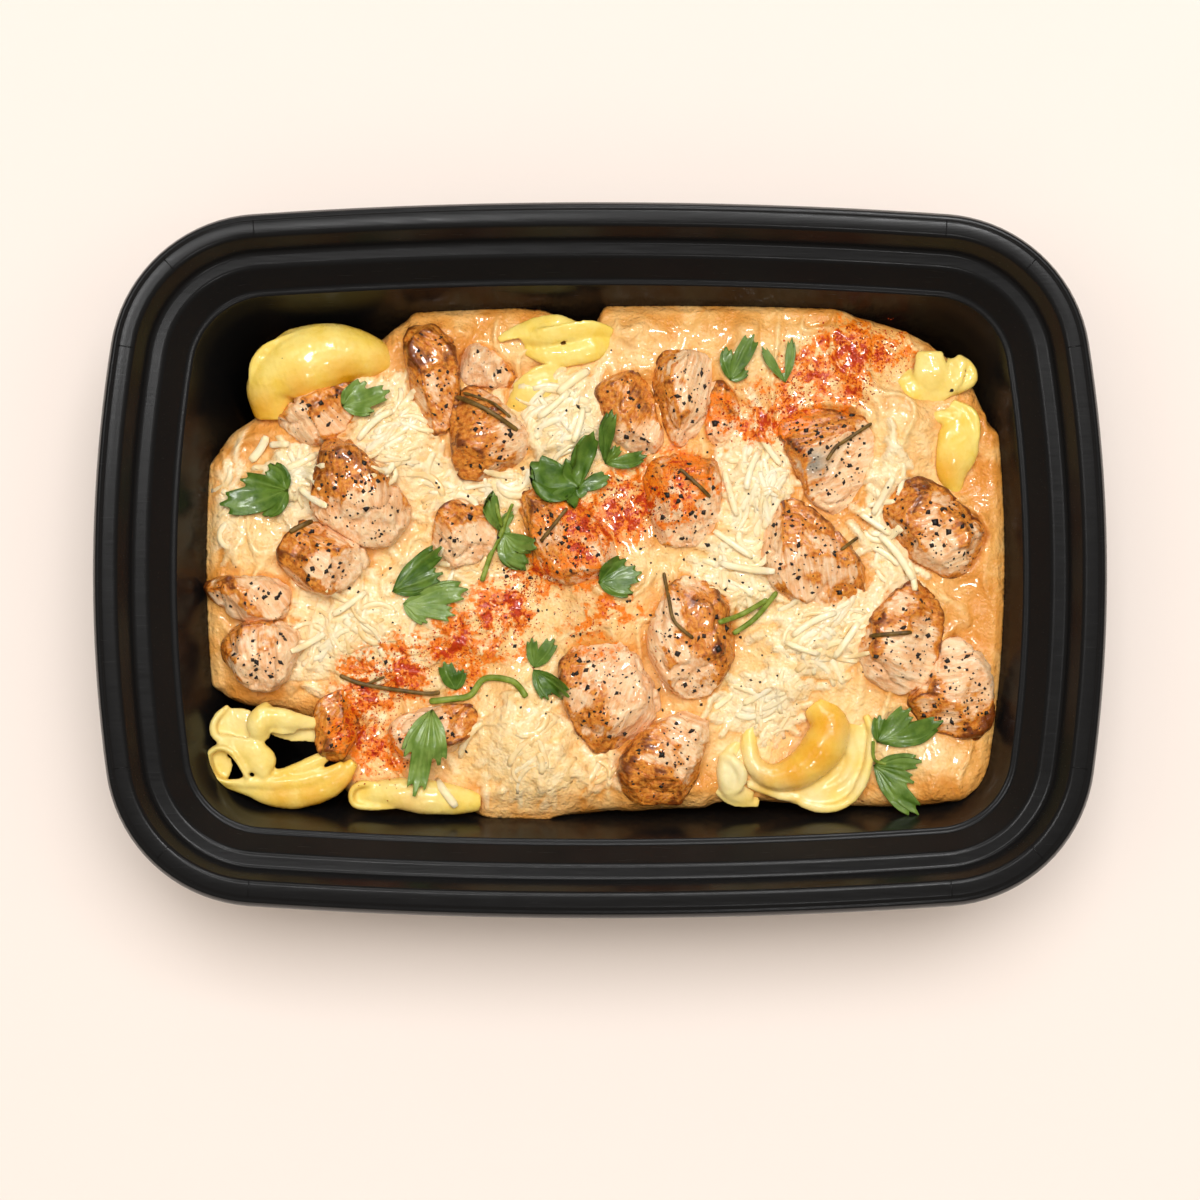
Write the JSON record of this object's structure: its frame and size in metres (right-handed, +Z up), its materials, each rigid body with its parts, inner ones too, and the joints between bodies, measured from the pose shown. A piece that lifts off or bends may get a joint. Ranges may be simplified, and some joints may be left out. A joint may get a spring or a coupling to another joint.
{
  "type": "tray of tortellini with chicken",
  "caption": "Ready meal of tortellini and diced roast chicken in a creamy sauce with shredded cheese, herbs and paprika, in an open black rectangular plastic tray.",
  "frame": {"origin": "on the table under the middle of the tray's flat base", "axes": "+X along the tray's length, +Y across it toward the back, +Z up"},
  "size_m": [0.216, 0.153, 0.05],
  "materials": {
    "tray_plastic": "black satin polypropylene, glossy inside",
    "cream_sauce": "wet, peach cream with small glints",
    "egg_pasta": "moist yellow dough",
    "roast_chicken": "browned and peppered, slightly moist",
    "cheese": "pale ivory shreds, moist",
    "parsley": "fresh green leaf with pale veins",
    "rosemary": "dry olive needles and stems",
    "pepper": "cracked black grains",
    "paprika": "red-orange powder"
  },
  "bodies": {
    "root": {"tray": "tray_plastic", "sauce": "cream_sauce", "chicken_01": "roast_chicken", "chicken_02": "roast_chicken", "chicken_03": "roast_chicken", "chicken_04": "roast_chicken", "chicken_05": "roast_chicken", "chicken_06": "roast_chicken", "chicken_07": "roast_chicken", "chicken_08": "roast_chicken", "chicken_09": "roast_chicken", "chicken_10": "roast_chicken", "chicken_11": "roast_chicken", "chicken_12": "roast_chicken", "chicken_13": "roast_chicken", "chicken_14": "roast_chicken", "chicken_15": "roast_chicken", "chicken_16": "roast_chicken", "chicken_17": "roast_chicken", "chicken_18": "roast_chicken", "chicken_19": "roast_chicken", "chicken_20": "roast_chicken", "chicken_21": "roast_chicken", "chicken_22": "roast_chicken", "chicken_23": "roast_chicken", "chicken_24": "roast_chicken", "tortellino_1": "egg_pasta", "tortellino_2": "egg_pasta", "tortellino_3": "egg_pasta", "tortellino_4": "egg_pasta", "tortellino_5": "egg_pasta", "tortellino_6": "egg_pasta", "tortellino_7": "egg_pasta", "tortellino_8": "egg_pasta"}
  },
  "joints": []
}
